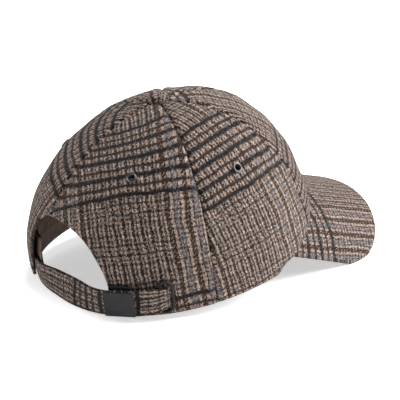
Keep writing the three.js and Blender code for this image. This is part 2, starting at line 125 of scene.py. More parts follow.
def rim_point(angle):
    c, s = np.cos(np.radians(angle)), np.sin(np.radians(angle))
    power = lerp(RIM_BACK_POWER, RIM_FRONT_POWER, smooth((1 + c) / 2))
    k = (np.abs(c) ** power + np.abs(s) ** power) ** (-1 / power)
    return -RIM_HALF_WIDTH * s * k, -np.where(c > 0, RIM_FRONT, RIM_BACK) * c * k


def peak_height(x, y):
    """Height of the hem where it meets the peak."""
    sideways = np.clip(np.abs(x), 0, PEAK_BEND_LIMIT)
    bend = PEAK_BEND_RADIUS - np.sqrt(PEAK_BEND_RADIUS**2 - sideways**2)
    return PEAK_ROOT_HEIGHT - bend + math.tan(PEAK_TILT) * (y + RIM_FRONT)


def from_front(angle):
    return np.abs(np.mod(angle + 180, 360) - 180)


def rim_height(angle):
    x, y = rim_point(angle)
    over_peak = smooth(PEAK_ANGLE + PEAK_FADE - from_front(angle), 0, PEAK_FADE_WIDTH)
    return np.maximum(peak_height(x, y), 0) * over_peak


def crown_point(angle, t):
    """Point on the outside of the wall, which is a cubic curve from the rim to the top at each angle."""
    angle, t = np.broadcast_arrays(np.asarray(angle, float), np.asarray(t, float))
    lean, lean_height, shoulder = (
        table_value(SEAMS, name, angle, 360) for name in ("lean", "lean_height", "shoulder")
    )
    foot = rim_height(angle)
    b0, b1, b2, b3 = (1 - t) ** 3, 3 * t * (1 - t) ** 2, 3 * t**2 * (1 - t), t**3
    radius = b0 + b1 * (1 + lean) + b2 * shoulder
    z = b0 * foot + b1 * (foot + lean_height * (CROWN_HEIGHT - foot))
    z = z + b2 * (CROWN_HEIGHT + SHOULDER_RISE) + b3 * CROWN_HEIGHT
    shift = CROWN_TOP_SHIFT * np.maximum(z / CROWN_HEIGHT, 0) ** CROWN_SHIFT_POWER
    x, y = rim_point(angle)
    return np.stack([x * radius, y * radius + shift, z], -1)


def unit(v):
    return v / np.maximum(np.linalg.norm(v, axis=-1, keepdims=True), 1e-9)


def up_the_wall(angle, t):
    return crown_point(angle, t + SLOPE_T) - crown_point(angle, t - SLOPE_T)


def crown_normal(angle, t):
    across = crown_point(angle + SLOPE_ANGLE, t) - crown_point(angle - SLOPE_ANGLE, t)
    return unit(np.cross(up_the_wall(angle, t), across))


def inside_crown(angle, t, depth):
    return crown_point(angle, t) - crown_normal(angle, t) * np.asarray(depth)[..., None]


def beside_crown(angle, height, out):
    """Point at a height on the wall, moved level out from it."""
    angle, height = np.broadcast_arrays(np.asarray(angle, float), np.asarray(height, float))
    low, high = (np.full(angle.shape, t) for t in SEARCH_T)
    for _ in range(SEARCH_STEPS):
        middle = (low + high) / 2
        below = crown_point(angle, middle)[..., 2] < height
        low, high = np.where(below, middle, low), np.where(below, high, middle)
    normal = crown_normal(angle, low)
    normal[..., 2] = 0
    return crown_point(angle, low) + unit(normal) * np.asarray(out)[..., None]


def to_row(points):
    """Cap frame to row frame, in mm."""
    x, y, z = points[..., 0], points[..., 1], points[..., 2]
    return np.stack([x, y * REST_COS + z * REST_SIN + REST_Y, -y * REST_SIN + z * REST_COS + REST_LIFT], -1)


def laid_flat(points):
    """Lifts what would be below the table onto it."""
    up = np.array([0, -REST_SIN, REST_COS])
    above = points @ up + REST_LIFT
    return points + up * np.maximum(-above, 0)[..., None]


def length_along(line):
    return np.concatenate([[0], np.cumsum(np.linalg.norm(np.diff(line, axis=0), axis=1))])


def rolled(distance, radius):
    """How far a rounded edge of the given radius falls back, at a distance in from the edge."""
    inward = np.clip(1 - distance / radius, 0, 1)
    return radius * (1 - np.sqrt(1 - inward**2))


# Meshes
EDGE_SHARES = np.array([0, 0.12, 0.3, 0.55, 0.8])
WELD_DISTANCE = 1e-6


def edge_steps(count, fine, low=True, high=True):
    """Steps from 0 to 1, closer together next to the chosen ends."""
    near = EDGE_SHARES * fine
    middle = np.linspace(fine if low else 0, 1 - fine if high else 1, count)
    return np.concatenate([near if low else [], middle, 1 - near[::-1] if high else []])


def make_object(name, points, faces, uv=None):
    """Piece from points in the cap frame; uv is each point's place on the flat cut, in mm."""
    mesh = bpy.data.meshes.new(name)
    row = to_row(np.asarray(points, float)) / MM_PER_M
    mesh.from_pydata(row.tolist(), [], faces)
    if uv is not None:
        loops = np.zeros(len(mesh.loops), np.int32)
        mesh.loops.foreach_get("vertex_index", loops)
        layer = mesh.uv_layers.new(name="cut")
        layer.data.foreach_set("uv", np.asarray(uv, float)[loops].ravel())
    mesh.shade_smooth()
    mesh.update()
    piece = bpy.data.objects.new(name, mesh)
    bpy.context.scene.collection.objects.link(piece)
    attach(piece, "root")
    return piece


def weld(piece):
    """Joins points that lie on one another."""
    shape = bmesh.new()
    shape.from_mesh(piece.data)
    bmesh.ops.remove_doubles(shape, verts=shape.verts, dist=WELD_DISTANCE)
    shape.to_mesh(piece.data)
    shape.free()
    return piece


def slab_faces(rows, columns):
    """Faces of a closed body between two grids of points, the outer one first."""
    outer, inner = np.arange(2 * rows * columns).reshape(2, rows, columns)
    faces = []

    def quads(a, b, c, d):
        faces.extend(np.stack([a.ravel(), b.ravel(), c.ravel(), d.ravel()], 1).tolist())

    quads(outer[:-1, :-1], outer[:-1, 1:], outer[1:, 1:], outer[1:, :-1])
    quads(inner[:-1, :-1], inner[1:, :-1], inner[1:, 1:], inner[:-1, 1:])
    quads(outer[:-1, 0], outer[1:, 0], inner[1:, 0], inner[:-1, 0])
    quads(outer[:-1, -1], inner[:-1, -1], inner[1:, -1], outer[1:, -1])
    quads(outer[0, :-1], inner[0, :-1], inner[0, 1:], outer[0, 1:])
    quads(outer[-1, :-1], outer[-1, 1:], inner[-1, 1:], inner[-1, :-1])
    return faces


def slab(name, outer, inner, uv):
    """Closed body between two grids of points; both faces take the same places on the flat cut."""
    rows, columns = outer.shape[:2]
    points = np.concatenate([outer.reshape(-1, 3), inner.reshape(-1, 3)])
    faces = slab_faces(rows, columns)
    i, j = rows // 2, columns // 2
    facing = np.cross(outer[i, j + 1] - outer[i, j], outer[i + 1, j] - outer[i, j])
    if np.dot(facing, inner[i, j] - outer[i, j]) > 0:
        faces = [face[::-1] for face in faces]
    return make_object(name, points, faces, np.tile(uv.reshape(-1, 2), (2, 1)))


# Flat cuts
CUT_STEPS, CUT_T, CUT_BATCH = 300, (-0.15, 0.99), 4000
CUT_RADIUS = 90


def cut_coordinates(points, grain):
    """Sideways and upward distances on the flat cut of a panel whose grain line runs up at an angle."""
    t = np.linspace(*CUT_T, CUT_STEPS)
    angle = np.full(CUT_STEPS, float(grain))
    line = crown_point(angle, t)
    up = length_along(line)
    up -= np.interp(0, t, up)
    tangent = unit(np.gradient(line, axis=0))
    side = unit(np.cross(crown_normal(angle, t), tangent))
    flat = points.reshape(-1, 3)
    uv = np.zeros((len(flat), 2))
    for start in range(0, len(flat), CUT_BATCH):
        part = flat[start : start + CUT_BATCH]
        beyond = np.einsum("pk,mk->pm", part, tangent) - np.einsum("mk,mk->m", line, tangent)
        k = np.clip(CUT_STEPS - 1 - np.argmax(beyond[:, ::-1] > 0, axis=1), 0, CUT_STEPS - 2)
        rows = np.arange(len(part))
        share = np.clip(beyond[rows, k] / (beyond[rows, k] - beyond[rows, k + 1] + 1e-9), 0, 1)
        away = part - (line[k] + (line[k + 1] - line[k]) * share[:, None])
        # Length of the arc over a chord, on a wall of this radius
        chord = np.linalg.norm(away, axis=1)
        arc_length = chord * (1 + (chord / CUT_RADIUS) ** 2 / 24)
        uv[start : start + CUT_BATCH, 0] = np.sign(np.einsum("pk,pk->p", away, side[k])) * arc_length
        uv[start : start + CUT_BATCH, 1] = up[k] + (up[k + 1] - up[k]) * share
    return uv.reshape(points.shape[:-1] + (2,))


# Panels. Each gore has its seams, the side that stops at the arch, and how it was cut from the cloth.
# grain: where its grain line runs up the wall. hand: 1, or -1 where the cloth is turned over sideways.
# warp, weft: where the bold stripes start, in mm from the grain line and up from the rim.
# lean: sideways drift of the warp for each mm up, below and above LEAN_UP. bow: how fast the weft rises
# away from BOW_U to both sides, above BOW_V.
FRONT_CUT = dict(warp=-41.75, weft=10.6, lean=(0, 0))
SIDE_CUT = dict(warp=-67.55, weft=64, lean=(0.123, 0.035))
BACK_CUT = dict(warp=-56, weft=77.8, lean=(0.105, 0), bow=1.93e-4)
PANELS = {
    "front_right_panel": dict(seams=(0, 52), arch=0, grain=26, hand=1, **FRONT_CUT),
    "side_right_panel": dict(seams=(52, 110.5), arch=0, grain=81.25, hand=1, **SIDE_CUT),
    "back_right_panel": dict(seams=(110.5, 187), arch=-1, grain=125, hand=1, **BACK_CUT),
    "back_left_panel": dict(seams=(187, 249.5), arch=1, grain=235, hand=-1, **BACK_CUT),
    "side_left_panel": dict(seams=(249.5, 308), arch=0, grain=278.75, hand=-1, **SIDE_CUT),
    "front_left_panel": dict(seams=(308, 360), arch=0, grain=334, hand=-1, **FRONT_CUT),
}
LEAN_UP, BOW_U, BOW_V = 60, 16, 80

# Rows and columns of points on a gore
PANEL_COLUMNS, PANEL_ROWS, PANEL_FINE = 84, 110, 0.03
HEM_ROWS = np.concatenate([[0, 0.0012], np.arange(0.003, 0.036, 0.003)])
ARCH_ROWS, ARCH_START_T, ABOVE_ARCH_ROWS, HEM_END_T = 60, 0.037, 70, 0.042

# Rounded edges, the stitched hem, and the hem's fit to the peak
EDGE_ROLL, ROLL_MARGIN = 1.1, 0.02
HEM_GROOVE_UP, HEM_GROOVE_DEPTH, HEM_GROOVE_WIDTH = 2.6, 0.55, 0.45
HEM_EASE, HEM_FIT_HEIGHT = 6, 6

# Unevenness of the cloth: its depth, its waves' lengths, and the heights between which it sets in
RIPPLE, RIPPLE_FINE, RIPPLE_HEIGHTS = 0.45, 0.6, (4, 22)
RIPPLE_LENGTHS = (9.1, 14.3), (10.7, 12.1), (6.3, 7.7)

# A sewn seam: the valley and how it deepens up the wall, the ridge beside it, and puckers of depth and length
VALLEY_DEPTH, VALLEY_MORE, VALLEY_MORE_T, VALLEY_WIDTH = 0.5, 0.8, (0.5, 0.9), 1.3
RIDGE_HEIGHT, RIDGE_AWAY, RIDGE_WIDTH = 0.4, 4.2, 1.9
PUCKERS, PUCKER_WIDTH = ((0.2, 6.5), (0.12, 3.9)), 4

# Eyelets: angle and t of each, and the hole in the cloth
EYELETS = [(84.5, 0.49), (145, 0.555), (229, 0.555), (275.5, 0.49)]
EYELET_HOLE = 2.7


def cloth_coordinates(points, grain, hand, warp, weft, lean, bow=0):
    """Place on the bolt of cloth, in mm: across the warp and along it."""
    cut = cut_coordinates(points, grain)
    u, v = cut[..., 0] * hand, cut[..., 1]
    u = u - lean[0] * np.minimum(v, LEAN_UP) - lean[1] * np.maximum(v - LEAN_UP, 0)
    v = v - bow * np.maximum(v - BOW_V, 0) * (u - BOW_U) ** 2
    return np.stack([u - warp, v - weft], -1)


def arch_half_width(side, share):
    wide = (1 - share**ARCH_POWER) ** (1 / ARCH_POWER)
    if side > 0:
        return ARCH_LEFT * wide + ARCH_LEFT_FLARE * (1 - share) ** ARCH_FLARE_POWER
    return ARCH_RIGHT * wide


def panel_rows(arch_side):
    """Heights of a gore's rows of points, and how many degrees of each row the arch takes."""
    if not arch_side:
        t = np.concatenate([HEM_ROWS, np.linspace(HEM_END_T, CROWN_TOP_T, PANEL_ROWS)])
        return t, np.zeros(len(t))
    share = np.sin(np.linspace(0, 1, ARCH_ROWS)[:-1] * math.pi / 2) ** (2 / ARCH_POWER)
    share = np.concatenate([HEM_ROWS / ARCH_TOP_T, share[share * ARCH_TOP_T > ARCH_START_T]])
    t = np.concatenate([ARCH_TOP_T * share, np.linspace(ARCH_TOP_T, CROWN_TOP_T, ABOVE_ARCH_ROWS)])
    return t, np.concatenate([arch_half_width(arch_side, share), np.zeros(ABOVE_ARCH_ROWS)])


def hem_groove(up):
    """The stitched line just above the rim."""
    return -HEM_GROOVE_DEPTH * np.exp(-(((up - HEM_GROOVE_UP) / HEM_GROOVE_WIDTH) ** 2))


def ripple(points):
    """Slight unevenness of soft cloth over the whole crown."""
    x, y, z = points[..., 0], points[..., 1], points[..., 2]
    (x_long, xz_long), (y_long, yz_long), (fine_long, fine_z_long) = RIPPLE_LENGTHS
    waves = np.sin(x / x_long + z / xz_long) * np.sin(y / y_long - z / yz_long + 1)
    waves = waves + RIPPLE_FINE * np.sin((x + y) / fine_long + z / fine_z_long)
    return RIPPLE * waves * smooth(z, *RIPPLE_HEIGHTS)


def seam_relief(distance, up, t, side):
    """A sewn seam pulls the cloth in, and the allowance turned behind it lifts the cloth beside it."""
    depth = VALLEY_DEPTH + VALLEY_MORE * smooth(t, *VALLEY_MORE_T)
    valley = depth * np.exp(-((distance / VALLEY_WIDTH) ** 2))
    ridge = RIDGE_HEIGHT * np.exp(-(((distance - RIDGE_AWAY) / RIDGE_WIDTH) ** 2))
    pucker = sum(
        height * np.sin(2 * math.pi * up / length + k * side) for k, (height, length) in enumerate(PUCKERS, 1)
    )
    return ridge - valley + pucker * np.exp(-distance / PUCKER_WIDTH)


def fit_to_peak(surface, angle, from_foot):
    """Brings the hem down onto the peak, with an even start at the peak's ends."""
    over_peak = smooth(PEAK_ANGLE + PEAK_END_MARGIN + HEM_EASE - from_front(angle), 0, HEM_EASE)
    drop = over_peak * (surface[0, :, 2] - np.maximum(peak_height(surface[0, :, 0], surface[0, :, 1]), 0))
    surface[..., 2] -= drop * np.clip(1 - from_foot / HEM_FIT_HEIGHT, 0, 1)


def panel(name, seams, arch, **cut):
    """Gore between two seams. arch is 1 or -1 where it stops at the arch at its start or end."""
    across = edge_steps(PANEL_COLUMNS, PANEL_FINE)
    t, wide = panel_rows(arch)
    low = seams[0] + wide * (arch > 0)
    high = seams[1] - wide * (arch < 0)
    angle = low[:, None] + (high - low)[:, None] * across
    tt = np.broadcast_to(t[:, None], angle.shape)
    middle = crown_point(angle, tt)
    width = np.linalg.norm(np.diff(middle, axis=1), axis=2).sum(1)[:, None]
    from_start, from_end = across * width, (1 - across) * width
    run_up = np.linalg.norm(np.diff(middle, axis=0), axis=2)
    from_foot = np.concatenate([np.zeros((1, angle.shape[1])), np.cumsum(run_up, 0)])

    at_arch = (wide > 0)[:, None]
    arch_edge = rolled(from_start if arch > 0 else from_end, EDGE_ROLL)
    hem = rolled(from_foot, EDGE_ROLL)
    hem = np.where(at_arch, np.maximum(hem, arch_edge), hem)
    outer_depth = np.maximum(rolled(np.minimum(from_start, from_end), EDGE_ROLL), hem)
    inner_depth = np.maximum(WALL - hem, outer_depth + ROLL_MARGIN)
    rise = hem_groove(from_foot) + ripple(middle)
    for distance, side in ((from_start, 1), (from_end, -1)):
        sewn = np.where(at_arch, 0, 1) if side == arch else 1
        rise = rise + sewn * seam_relief(distance, from_foot, tt, side)

    outer = inside_crown(angle, tt, outer_depth - rise)
    inner = inside_crown(angle, tt, inner_depth - ripple(middle))
    for surface in (outer, inner):
        fit_to_peak(surface, angle[0], from_foot)
    piece = slab(name, laid_flat(outer), laid_flat(inner), cloth_coordinates(middle, **cut))
    show_reverse(piece, (len(t) - 1) * (len(across) - 1))
    for eyelet_angle, eyelet_t in EYELETS:
        if seams[0] < eyelet_angle < seams[1]:
            open_eyelet(piece, crown_point(eyelet_angle, eyelet_t))
    return piece


def show_reverse(piece, count):
    """Second material for the faces of the inner grid, which come after those of the outer."""
    index = np.zeros(len(piece.data.polygons), np.int32)
    index[count : 2 * count] = 1
    piece.data.polygons.foreach_set("material_index", index)


def open_eyelet(piece, centre):
    """Hole through the cloth for an eyelet; its flanges cover the edge."""
    place = Vector(to_row(centre) / MM_PER_M)
    shape = bmesh.new()
    shape.from_mesh(piece.data)
    inside = [f for f in shape.faces if (f.calc_center_median() - place).length < EYELET_HOLE / MM_PER_M]
    bmesh.ops.delete(shape, geom=inside, context="FACES")
    bmesh.ops.bridge_loops(shape, edges=[edge for edge in shape.edges if edge.is_boundary])
    shape.to_mesh(piece.data)
    shape.free()


# Peak
PEAK_WARP, PEAK_WEFT, PEAK_BOW = 98.25, 110, 0.0033
PEAK_ROWS, PEAK_COLUMNS, PEAK_FINE, PEAK_SIDE_FINE = 56, 110, 0.03, 0.012
PEAK_SWEEP_RADIUS = 60


def peak_surface(out, across, side):
    """Upper (side 1) or lower (side -1) face, from its root at the rim to its outline."""
    turn = lerp(-1, 1, across)
    sweep = turn * math.pi / 2
    outer_x, outer_y = PEAK_HALF_WIDTH * np.sin(sweep), PEAK_SIDE_Y - PEAK_REACH * np.cos(sweep)
    root = inside_crown(-turn * PEAK_ANGLE, np.zeros_like(turn), np.full(turn.shape, PEAK_ROOT_DEPTH))
    x, y = lerp(root[..., 0], outer_x, out), lerp(root[..., 1], outer_y, out)
    reach = np.hypot(outer_x - root[..., 0], outer_y - root[..., 1])
    ends = np.minimum(across, 1 - across) * math.pi * PEAK_SWEEP_RADIUS
    from_edge = np.minimum((1 - out) * reach, ends)
    thickness = PEAK_THICKNESS - 2 * rolled(from_edge, PEAK_THICKNESS / 2 - ROLL_MARGIN)
    middle = peak_height(x, y) - PEAK_SEAT - PEAK_THICKNESS / 2
    return np.stack([x, y, middle + side * thickness / 2], -1)


def make_peak():
    out, across = np.meshgrid(
        edge_steps(PEAK_ROWS, PEAK_FINE, low=False), edge_steps(PEAK_COLUMNS, PEAK_SIDE_FINE), indexing="ij"
    )
    upper, lower = (peak_surface(out, across, side) for side in (1, -1))
    sideways = PEAK_BEND_RADIUS * np.arcsin(np.clip(upper[..., 0] / PEAK_BEND_RADIUS, -1, 1))
    forward = upper[..., 1] / math.cos(PEAK_TILT)
    uv = np.stack([sideways + PEAK_WARP, forward + PEAK_WEFT - PEAK_BOW * sideways**2], -1)
    return slab("peak_cloth", laid_flat(upper), laid_flat(lower), uv)


# Strap and sweatband
STRAP_WARP, STRAP_WEFT, STRAP_HEIGHT = 57, -60, 18
STRAP_ROWS, STRAP_COLUMNS, STRAP_FINE = 22, 190, 0.07
BAND_ROWS, BAND_COLUMNS, BAND_FINE = 20, 260, 0.05
BAND_WIDTH, BAND_LINE_T = 30, 0.1


def strap_point(angle, up, out):
    angle, up = np.broadcast_arrays(np.asarray(angle, float), np.asarray(up, float))
    at = {name: table_value(STRAP, name, angle) for name in ("foot", "head", "low", "high")}
    height = lerp(at["low"], at["high"], up)
    return beside_crown(angle, height, lerp(at["foot"], at["head"], up) + out)


def make_strap():
    ends = STRAP["angle"][-1], STRAP["angle"][0]
    up, angle = np.meshgrid(
        edge_steps(STRAP_ROWS, STRAP_FINE), np.linspace(*ends, STRAP_COLUMNS), indexing="ij"
    )
    half = STRAP_THICKNESS / 2
    fall = rolled(np.minimum(up, 1 - up) * STRAP_HEIGHT, half - ROLL_MARGIN)
    outer, inner = strap_point(angle, up, half - fall), strap_point(angle, up, fall - half)
    along = length_along(strap_point(angle[0], np.full(STRAP_COLUMNS, 0.5), np.zeros(STRAP_COLUMNS)))
    uv = np.stack([up * STRAP_HEIGHT + STRAP_WARP, np.broadcast_to(along, up.shape) + STRAP_WEFT], -1)
    return slab("strap_cloth", laid_flat(outer), laid_flat(inner), uv)


def make_sweatband():
    start, end = BACK_SEAM - ARCH_RIGHT - BAND_END_INSET, BAND_LEFT_END - 360
    up, angle = np.meshgrid(
        edge_steps(BAND_ROWS, BAND_FINE), np.linspace(start, end, BAND_COLUMNS), indexing="ij"
    )
    over_peak = smooth(PEAK_ANGLE - np.abs(angle), 0, PEAK_FADE)
    t = lerp(lerp(BAND_FOOT_T, -BAND_FRONT_DROP_T, over_peak), BAND_TOP_T, up)
    beside_tail = 1 - smooth(angle - end, BAND_STEP_ANGLE, 2 * BAND_STEP_ANGLE)
    depth = WALL + BAND_GAP + BAND_STEP_IN * beside_tail
    outer, inner = inside_crown(angle, t, depth), inside_crown(angle, t, depth + BAND_THICKNESS)
    along = length_along(crown_point(angle[0], np.full(BAND_COLUMNS, BAND_LINE_T)))
    uv = np.stack([np.broadcast_to(along, up.shape), up * BAND_WIDTH], -1)
    return slab("sweatband_cloth", outer, inner, uv)


# Button: a low dome, tucked under at its edge and gathered, and the turn of its cloth
BUTTON_RADIUS, BUTTON_HEIGHT, BUTTON_SEAT, BUTTON_SIDE, BUTTON_ROUNDNESS = 6.8, 6, -0.7, 1.2, 0.6
BUTTON_TUCK, BUTTON_TUCK_IN, BUTTON_TUCK_DOWN, BUTTON_TUCK_LEAST = 0.35, 0.2, 3, 0.4
BUTTON_GATHERS, BUTTON_GATHER_DEPTH = 18, 0.12
BUTTON_TURN, BUTTON_WARP, BUTTON_WEFT = math.radians(141), 18.5, 76
BUTTON_CLOTH_SIDE, BUTTON_CLOTH_TUCK = 4, 2
BUTTON_ROWS, BUTTON_SIDES = 30, 72


def make_button():
    around = np.arange(BUTTON_SIDES) / BUTTON_SIDES * 2 * math.pi
    cloth = around - BUTTON_TURN
    dome = BUTTON_HEIGHT - BUTTON_SIDE
    points, uv = [], []
    for turn in np.linspace(-BUTTON_TUCK, 0.5 * math.pi, BUTTON_ROWS):
        over, under = max(turn, 0), max(-turn, 0)
        radius = BUTTON_RADIUS * max(math.cos(over), 0) ** BUTTON_ROUNDNESS * (1 - BUTTON_TUCK_IN * under)
        rise = BUTTON_SEAT + BUTTON_SIDE + dome * math.sin(over) - BUTTON_TUCK_DOWN * BUTTON_SIDE * under
        gather = BUTTON_GATHER_DEPTH * np.cos(BUTTON_GATHERS * around) * math.cos(over) ** 2
        x, y = (radius + gather) * np.cos(around), (radius + gather) * np.sin(around)
        z = np.full(BUTTON_SIDES, CROWN_HEIGHT + max(rise, BUTTON_SEAT - BUTTON_TUCK_LEAST))
        points.append(np.stack([x, y + CROWN_TOP_SHIFT, z], -1))
        flat = radius + (1 - math.sin(over)) * BUTTON_CLOTH_SIDE + BUTTON_CLOTH_TUCK * under
        uv.append(np.stack([flat * np.sin(cloth) + BUTTON_WARP, flat * np.cos(cloth) + BUTTON_WEFT], -1))
    faces = []
    for i in range(BUTTON_ROWS - 1):
        for j in range(BUTTON_SIDES):
            a, b = i * BUTTON_SIDES + j, i * BUTTON_SIDES + (j + 1) % BUTTON_SIDES
            faces.append([a, b, b + BUTTON_SIDES, a + BUTTON_SIDES])
    faces.append(list(range(BUTTON_SIDES))[::-1])
    return weld(make_object("button_cloth", np.concatenate(points), faces, np.concatenate(uv)))


pieces = {name: panel(name.replace("panel", "cloth"), **row) for name, row in PANELS.items()}
pieces["peak"] = make_peak()
pieces["back_strap"] = make_strap()
pieces["sweatband"] = make_sweatband()
pieces["top_button"] = make_button()
for node, piece in pieces.items():
    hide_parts(node)

# Metal pieces: sizes in mm, and their places by the angle and t of the wall or on the strap
BUCKLE_ANGLE = 148
PLATE_WIDTH, PLATE_HEIGHT, PLATE_THICKNESS = 20, 17.4, 1.2
PLATE_CORNER, PLATE_SHIFT, PLATE_BEVEL, PLATE_BEVEL_STEPS, PLATE_FLAT_ROWS = 0.8, 0.6, 0.35, 6, (1.6, 3)
FRAME_WIDTH, FRAME_HEIGHT, FRAME_THICKNESS, FRAME_CORNER, FRAME_SHIFT = 15, 19.6, 0.8, 1, 1.4
FRAME_BAR, FRAME_CLEARANCE, FRAME_BEVEL, FRAME_BEVEL_STEPS = 2.2, 1.15, 0.25, 4
RING_ANGLE, RING_T, RING_WIDTH, RING_HEIGHT, RING_BAR, RING_RISE = 131.2, 0.068, 12.6, 22.6, 2.1, 1.4
RING_FOOT, RING_FOOT_IN = 0.35, 0.12
EYELET_BORE, EYELET_BARREL, EYELET_FLANGE, EYELET_BACK_FLANGE = 2.15, 2.35, 3.45, 3.2
EYELET_RISE, EYELET_EDGE, EYELET_FOOT, EYELET_SOFTNESS = 1.2, 0.5, 0.15, 0.15
EYELET_BACK_GAP, EYELET_BACK_IN, EYELET_FRONT_IN, EYELET_BORE_TOP = 1.5 * GAP, 0.05, 0.1, -1
EYELET_NODES = ("side_right_eyelet", "back_right_eyelet", "back_left_eyelet", "side_left_eyelet")
CORNER_STEPS, DOME_STEPS = 12, 12
CORNER_LEAST = 0.02


def round_loop(width, height, radius):
    """Points round a rectangle with round corners."""
    radius = max(min(radius, width / 2, height / 2), CORNER_LEAST)
    loop = []
    for quarter, (x, y) in enumerate(((1, 1), (-1, 1), (-1, -1), (1, -1))):
        turn = np.linspace(0, math.pi / 2, CORNER_STEPS) + quarter * math.pi / 2
        x_middle, y_middle = x * (width / 2 - radius), y * (height / 2 - radius)
        loop.append(np.stack([x_middle + radius * np.cos(turn), y_middle + radius * np.sin(turn)], -1))
    return np.concatenate(loop)


def swept(name, slot, place, profile, width=0.0, height=0.0, radius=0.0, ring=False):
    """Body whose outline is a round_loop. Each row of the profile is a distance out from it and a height."""
    rings = []
    for out, z in profile:
        loop = round_loop(width + 2 * out, height + 2 * out, radius + out)
        rings.append(np.column_stack([loop, np.full(len(loop), z)]))
    rows, count = len(profile), len(rings[0])
    faces = []
    for i in range(rows if ring else rows - 1):
        lower, upper = i * count, (i + 1) % rows * count
        for j in range(count):
            k = (j + 1) % count
            faces.append([lower + j, lower + k, upper + k, upper + j])
    if not ring:
        faces += [list(range(count))[::-1], list(range((rows - 1) * count, rows * count))]
    return weld(make_object(name, place(np.concatenate(rings)), faces))


def placing(origin, side, up, outwards):
    return lambda p: origin + p[:, :1] * side + p[:, 1:2] * up + p[:, 2:] * outwards


def wall_place(angle, t, out=0.0):
    normal = crown_normal(angle, t)
    side = unit(np.cross(unit(up_the_wall(angle, t)), normal))
    return placing(crown_point(angle, t) + normal * out, side, np.cross(normal, side), normal)


def strap_place(angle, shift, out):
    middle = strap_point(angle, 0.5, 0)
    up = unit(strap_point(angle, 1, 0) - strap_point(angle, 0, 0))
    along = unit(strap_point(angle - 1, 0.5, 0) - strap_point(angle + 1, 0.5, 0))
    normal = unit(np.cross(along, up))
    outwards = normal if np.dot(normal, middle) > 0 else -normal
    return placing(middle + up * shift + outwards * out, np.cross(up, outwards), up, outwards)


def arc(x, z, x_radius, z_radius, start, end, count):
    return [(x + x_radius * math.cos(a), z + z_radius * math.sin(a)) for a in np.linspace(start, end, count)]


def bevels(corners, bevel, steps):
    """Rounded corners, each a quarter turn on from the one before; the first starts facing down."""
    quarter = math.pi / 2
    profile = []
    for k, (x, z) in enumerate(corners, -1):
        profile += arc(x, z, bevel, bevel, k * quarter, (k + 1) * quarter, steps)
    return profile


def make_plate():
    bevel, thickness = PLATE_BEVEL, PLATE_THICKNESS
    # Rows of points in from the bevels keep the faces flat
    near, far = (share * bevel for share in PLATE_FLAT_ROWS)
    profile = [(-far, 0), (-bevel, 0)]
    profile += bevels([(-bevel, bevel), (-bevel, thickness - bevel)], bevel, PLATE_BEVEL_STEPS)
    profile += [(-near, thickness), (-far, thickness)]
    place = strap_place(BUCKLE_ANGLE, PLATE_SHIFT, STRAP_THICKNESS / 2 + GAP)
    return swept("plate_metal", "black_metal", place, profile, PLATE_WIDTH, PLATE_HEIGHT, PLATE_CORNER)


def make_frame():
    bevel, top, inner = FRAME_BEVEL, FRAME_THICKNESS - FRAME_BEVEL, FRAME_BEVEL - FRAME_BAR
    corners = [(-bevel, bevel), (-bevel, top), (inner, top), (inner, bevel)]
    profile = bevels(corners, bevel, FRAME_BEVEL_STEPS)
    out = -STRAP_THICKNESS / 2 - FRAME_CLEARANCE - FRAME_THICKNESS
    place = strap_place(BUCKLE_ANGLE, FRAME_SHIFT, out)
    size = FRAME_WIDTH, FRAME_HEIGHT, FRAME_CORNER
    return swept("frame_metal", "black_metal", place, profile, *size, ring=True)


def make_grommet():
    half = RING_BAR / 2
    profile = [(-RING_FOOT_IN, 0)]
    profile += arc(-half, RING_FOOT, half, RING_RISE - RING_FOOT, 0, math.pi, DOME_STEPS)
    profile += [(RING_FOOT_IN - RING_BAR, 0)]
    place = wall_place(RING_ANGLE, RING_T, GAP)
    size = RING_WIDTH, RING_HEIGHT, RING_WIDTH / 2
    return swept("grommet_metal", "black_metal", place, profile, *size, ring=True)


def make_eyelet(name, angle, t):
    """Flange behind the cloth, barrel through it, domed flange in front and the bore back through."""
    back, edge, foot = -WALL - EYELET_BACK_GAP, EYELET_EDGE, GAP + EYELET_FOOT
    middle, half = (EYELET_BORE + EYELET_FLANGE) / 2, (EYELET_FLANGE - EYELET_BORE) / 2
    profile = [
        (EYELET_BACK_FLANGE - EYELET_SOFTNESS, back - edge),
        (EYELET_BACK_FLANGE, back - 0.6 * edge),
        (EYELET_BACK_FLANGE - EYELET_BACK_IN, back),
        (EYELET_BARREL, back),
        (EYELET_BARREL, GAP),
        (EYELET_FLANGE - EYELET_FRONT_IN, GAP),
    ]
    profile += arc(middle, foot, half, EYELET_RISE - foot, 0, math.pi, DOME_STEPS)
    profile += [
        (EYELET_BORE, EYELET_BORE_TOP),
        (EYELET_BORE, back - 0.8 * edge),
        (EYELET_BORE + EYELET_SOFTNESS, back - edge),
    ]
    return swept(name, "eyelet_metal", wall_place(angle, t), profile, ring=True)


metal_pieces = {"buckle_plate": make_plate(), "buckle_frame": make_frame(), "tuck_grommet": make_grommet()}
for node, (angle, t) in zip(EYELET_NODES, EYELETS):
    metal_pieces[node] = make_eyelet(node + "_metal", angle, t)
for node, piece in metal_pieces.items():
    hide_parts(node)


# Materials
def linear(red, green, blue):
    """Linear colour of an sRGB colour given from 0 to 255."""
    shares = (c / 255 for c in (red, green, blue))
    return tuple(c / 12.92 if c <= 0.04045 else ((c + 0.055) / 1.055) ** 2.4 for c in shares) + (1,)


